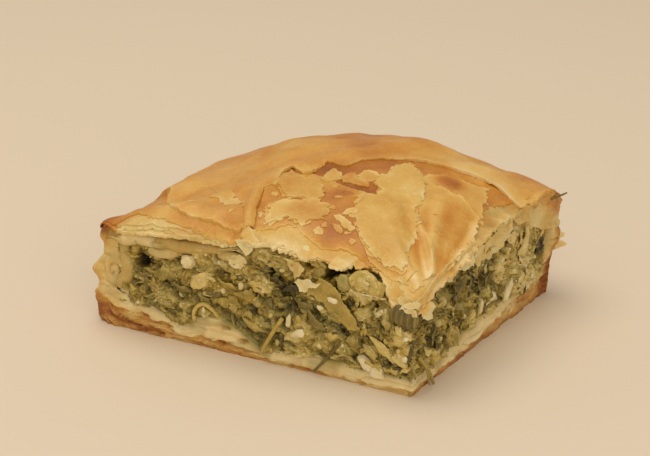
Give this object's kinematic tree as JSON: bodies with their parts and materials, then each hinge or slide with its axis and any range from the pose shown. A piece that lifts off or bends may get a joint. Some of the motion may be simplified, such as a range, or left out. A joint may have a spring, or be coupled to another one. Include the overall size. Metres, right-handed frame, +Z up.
{
  "type": "spanakopita pie piece",
  "caption": "Corner piece of a spinach and feta phyllo pie: folded base and tray-side walls, chopped green filling at the cut faces, and a domed lid of torn, flaky sheets.",
  "frame": {"origin": "middle of the flat underside of the base, on the plane the piece rests on", "axes": "+X from the left tray side to the right cut face, along the longest side; +Y from the front cut face to the back tray side; +Z up"},
  "size_m": [0.097, 0.0843, 0.0426],
  "materials": {
    "pastry_case": "baked phyllo, pale and doughy where cut, browned where it met the tray",
    "filling": "moist chopped spinach, leek and dill with feta curds",
    "pastry_lid": "golden baked phyllo, lightly buttered, crisp and flaky"
  },
  "bodies": {
    "root": {"pastry_case": "pastry_case", "filling": "filling", "pastry_lid": "pastry_lid"}
  },
  "joints": []
}
